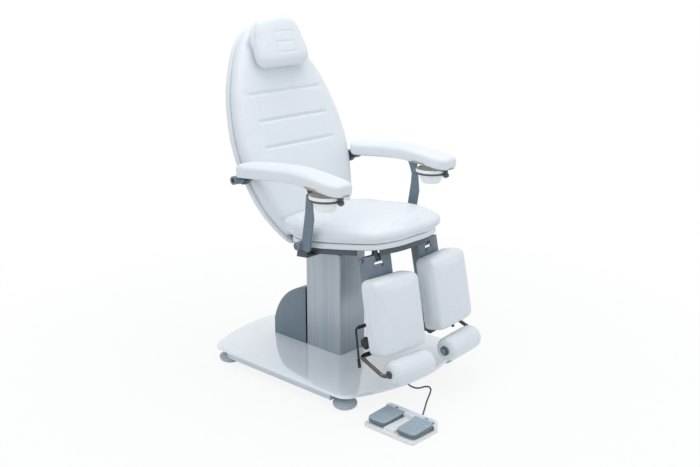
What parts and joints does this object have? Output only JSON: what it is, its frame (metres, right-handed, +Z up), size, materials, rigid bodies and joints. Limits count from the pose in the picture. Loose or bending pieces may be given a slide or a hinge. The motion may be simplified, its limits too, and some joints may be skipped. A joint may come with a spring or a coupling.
{
  "type": "pedicure spa chair",
  "caption": "Padded pedicure chair on a lifting column, with reclining back, swing-up calf rests, foot rollers, armrest bowls and a foot switch.",
  "frame": {"origin": "middle of the whole footprint, on the floor", "axes": "+Z up, -Y is the way the sitter faces, +X is the sitter's left"},
  "size_m": [0.698, 1.119, 1.321],
  "materials": {
    "leather": "smooth leatherette",
    "panel": "smooth leatherette",
    "blue_grey": "satin",
    "dark_grey": "satin",
    "steel": "brushed",
    "rod": "polished",
    "gloss_white": "gloss",
    "rail_grey": "satin",
    "black": "matt",
    "bowl": "gloss",
    "plywood": "bare",
    "housing": "matt",
    "pedal": "matt",
    "cable": "matt"
  },
  "bodies": {
    "base": {"base_plate": "gloss_white", "base_rail_right": "rail_grey", "base_rail_left": "rail_grey", "levelling_foot_front_right": "dark_grey", "levelling_foot_rear_right": "dark_grey", "levelling_foot_front_left": "dark_grey", "levelling_foot_rear_left": "dark_grey", "column_sleeve": "steel", "rear_cover": "blue_grey", "lift_motor_tube": "dark_grey", "cable_gland": "black", "pedal_cable": "cable", "pedal_housing": "housing"},
    "lift": {"column_mast": "steel", "mast_head": "dark_grey", "lift_spindle": "rod", "tilt_pin": "rod"},
    "seat": {"seat_frame": "dark_grey", "seat_panel": "panel", "seat_cushion": "leather", "back_hinge_tube": "steel", "arm_mount_right": "dark_grey", "arm_mount_left": "dark_grey"},
    "backrest": {"back_frame": "dark_grey", "back_panel": "panel", "back_cushion": "leather", "arm_axle_right": "blue_grey", "arm_axle_left": "blue_grey"},
    "headrest": {"headrest_board": "dark_grey", "headrest_cushion": "leather"},
    "pedal_front": {"pedal_front": "pedal"},
    "pedal_rear": {"pedal_rear": "pedal"},
    "armrest_right": {"arm_carrier_right": "dark_grey", "arm_board_right": "plywood", "arm_pad_right": "leather"},
    "bowl_right": {"bowl_ring_right": "dark_grey", "manicure_bowl_right": "bowl"},
    "arm_link_right": {"arm_link_right": "blue_grey"},
    "leg_swivel_right": {"leg_hanger_right": "dark_grey"},
    "leg_right": {"leg_channel_right": "blue_grey"},
    "leg_slide_right": {"leg_slide_right": "dark_grey", "calf_pad_right": "leather"},
    "lever_right": {"release_lever_right": "steel"},
    "knob_right": {"clamp_knob_right": "black"},
    "roller_arm_right": {"roller_arm_right": "rod"},
    "roller_right": {"foot_roller_right": "leather"},
    "armrest_left": {"arm_carrier_left": "dark_grey", "arm_board_left": "plywood", "arm_pad_left": "leather"},
    "bowl_left": {"bowl_ring_left": "dark_grey", "manicure_bowl_left": "bowl"},
    "arm_link_left": {"arm_link_left": "blue_grey"},
    "leg_swivel_left": {"leg_hanger_left": "dark_grey"},
    "leg_left": {"leg_channel_left": "blue_grey"},
    "leg_slide_left": {"leg_slide_left": "dark_grey", "calf_pad_left": "leather"},
    "lever_left": {"release_lever_left": "steel"},
    "knob_left": {"clamp_knob_left": "black"},
    "roller_arm_left": {"roller_arm_left": "rod"},
    "roller_left": {"foot_roller_left": "leather"}
  },
  "joints": [
    {"name": "lift", "type": "slide", "parent": "base", "child": "lift", "axis": [0, 0, 1], "range_m": [0, 0.25]},
    {"name": "seat_tilt", "type": "hinge", "parent": "lift", "child": "seat", "pos_m": [0, 0.1175, 0.494], "axis": [-1, 0, 0], "range_deg": [0, 8]},
    {"name": "back_recline", "type": "hinge", "parent": "seat", "child": "backrest", "pos_m": [0, 0.21852, 0.50704], "axis": [-1, 0, 0], "range_deg": [0, 40]},
    {"name": "headrest_slide", "type": "slide", "parent": "backrest", "child": "headrest", "axis": [0, 0.3633, 0.9317], "range_m": [0, 0.06]},
    {"name": "pedal_front_rock", "type": "hinge", "parent": "base", "child": "pedal_front", "pos_m": [-0.23, -0.4495, 0.029], "axis": [0, -1, 0], "range_deg": [0, 3], "stiffness_Nm_per_rad": 6, "springref_deg": -4.58},
    {"name": "pedal_rear_rock", "type": "hinge", "parent": "base", "child": "pedal_rear", "pos_m": [-0.23, -0.4495, 0.029], "axis": [0, -1, 0], "range_deg": [0, 3], "stiffness_Nm_per_rad": 6, "springref_deg": -4.58},
    {"name": "armrest_right", "type": "hinge", "parent": "backrest", "child": "armrest_right", "pos_m": [-0.288, 0.31494, 0.7571], "axis": [-1, 0, 0], "range_deg": [-24, 0]},
    {"name": "arm_link_right", "type": "hinge", "parent": "seat", "child": "arm_link_right", "pos_m": [-0.288, 0.0195, 0.56], "axis": [-1, 0, 0], "range_deg": [0, 47]},
    {"name": "bowl_swing_right", "type": "hinge", "parent": "armrest_right", "child": "bowl_right", "pos_m": [-0.288, -0.18006, 0.751], "axis": [0, 0, 1], "range_deg": [0, 120]},
    {"name": "leg_spread_right", "type": "hinge", "parent": "seat", "child": "leg_swivel_right", "pos_m": [-0.137, -0.2005, 0.527], "axis": [0, 0, -1], "range_deg": [-3, 12]},
    {"name": "leg_raise_right", "type": "hinge", "parent": "leg_swivel_right", "child": "leg_right", "pos_m": [-0.137, -0.2005, 0.527], "axis": [-0.9962, 0.0872, 0], "range_deg": [0, 55]},
    {"name": "leg_extend_right", "type": "slide", "parent": "leg_right", "child": "leg_slide_right", "axis": [-0.0166, -0.1901, -0.9816], "range_m": [0, 0.05]},
    {"name": "lever_right", "type": "hinge", "parent": "leg_slide_right", "child": "lever_right", "pos_m": [-0.14026, -0.23778, 0.30303], "axis": [0.9962, -0.0872, 0], "range_deg": [0, 20], "stiffness_Nm_per_rad": 0.8, "springref_deg": -17.19},
    {"name": "clamp_knob_right", "type": "hinge", "parent": "leg_slide_right", "child": "knob_right", "pos_m": [-0.14139, -0.25073, 0.24137], "axis": [0.9962, -0.0872, 0], "continuous": true},
    {"name": "roller_arm_right", "type": "hinge", "parent": "leg_slide_right", "child": "roller_arm_right", "pos_m": [-0.14263, -0.2648, 0.20541], "axis": [0.9962, -0.0872, 0], "range_deg": [0, 10]},
    {"name": "roller_spin_right", "type": "hinge", "parent": "roller_arm_right", "child": "roller_right", "pos_m": [-0.15286, -0.38182, 0.16712], "axis": [0.9962, -0.0872, 0], "continuous": true},
    {"name": "armrest_left", "type": "hinge", "parent": "backrest", "child": "armrest_left", "pos_m": [0.288, 0.31494, 0.7571], "axis": [-1, 0, 0], "range_deg": [-24, 0]},
    {"name": "arm_link_left", "type": "hinge", "parent": "seat", "child": "arm_link_left", "pos_m": [0.288, 0.0195, 0.56], "axis": [-1, 0, 0], "range_deg": [0, 47]},
    {"name": "bowl_swing_left", "type": "hinge", "parent": "armrest_left", "child": "bowl_left", "pos_m": [0.288, -0.18006, 0.751], "axis": [0, 0, -1], "range_deg": [0, 120]},
    {"name": "leg_spread_left", "type": "hinge", "parent": "seat", "child": "leg_swivel_left", "pos_m": [0.137, -0.2005, 0.527], "axis": [0, 0, 1], "range_deg": [-3, 12]},
    {"name": "leg_raise_left", "type": "hinge", "parent": "leg_swivel_left", "child": "leg_left", "pos_m": [0.137, -0.2005, 0.527], "axis": [-0.9962, -0.0872, 0], "range_deg": [0, 55]},
    {"name": "leg_extend_left", "type": "slide", "parent": "leg_left", "child": "leg_slide_left", "axis": [0.0166, -0.1901, -0.9816], "range_m": [0, 0.05]},
    {"name": "lever_left", "type": "hinge", "parent": "leg_slide_left", "child": "lever_left", "pos_m": [0.14026, -0.23778, 0.30303], "axis": [0.9962, 0.0872, 0], "range_deg": [0, 20], "stiffness_Nm_per_rad": 0.8, "springref_deg": -17.19},
    {"name": "clamp_knob_left", "type": "hinge", "parent": "leg_slide_left", "child": "knob_left", "pos_m": [0.14139, -0.25073, 0.24137], "axis": [0.9962, 0.0872, 0], "continuous": true},
    {"name": "roller_arm_left", "type": "hinge", "parent": "leg_slide_left", "child": "roller_arm_left", "pos_m": [0.14263, -0.2648, 0.20541], "axis": [0.9962, 0.0872, 0], "range_deg": [0, 10]},
    {"name": "roller_spin_left", "type": "hinge", "parent": "roller_arm_left", "child": "roller_left", "pos_m": [0.15167, -0.36813, 0.16445], "axis": [0.9962, 0.0872, 0], "continuous": true}
  ],
  "couplings": [
    {"joint": "armrest_right", "follows": "back_recline", "ratio": -0.5843},
    {"joint": "arm_link_right", "follows": "back_recline", "ratio": 1.1668},
    {"joint": "armrest_left", "follows": "back_recline", "ratio": -0.5843},
    {"joint": "arm_link_left", "follows": "back_recline", "ratio": 1.1668}
  ]
}
